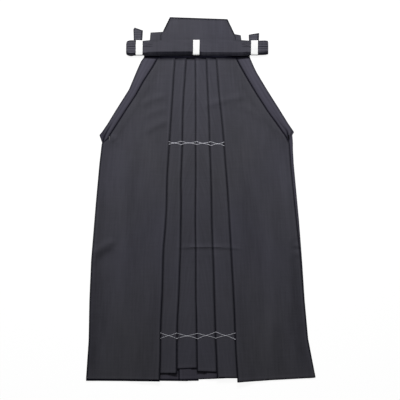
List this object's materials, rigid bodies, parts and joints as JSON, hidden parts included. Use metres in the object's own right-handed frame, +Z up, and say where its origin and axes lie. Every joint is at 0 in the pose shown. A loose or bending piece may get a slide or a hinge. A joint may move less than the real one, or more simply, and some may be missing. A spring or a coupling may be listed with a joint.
{
  "type": "hakama trousers",
  "caption": "Pleated wide-leg hakama laid flat, front up, with a stiff back board and the ties folded across the waist.",
  "frame": {"origin": "centre of the bounding box at the surface that the garment lies on", "axes": "+Y from the hem to the waist, +Z up out of the surface, +X to the right of one who looks down on the front"},
  "size_m": [0.6304, 1.0041, 0.0224],
  "materials": {
    "cloth": "matte charcoal plain weave",
    "paper": "matte white paper"
  },
  "bodies": {
    "root": {"FrontPanelLeft": "cloth", "FrontPanelRight": "cloth", "BackPanelLeft": "cloth", "BackPanelRight": "cloth", "SideFoldLeft": "cloth", "SideFoldRight": "cloth", "FrontBand": "cloth", "BackBoard": "cloth", "BackTieLeft": "cloth", "BackTieRight": "cloth", "TieBundle": "cloth", "TieTailLeft": "cloth", "TieTailRight": "cloth", "PaperBandLeft": "paper", "PaperBandCentre": "paper", "PaperBandRight": "paper"}
  },
  "joints": []
}
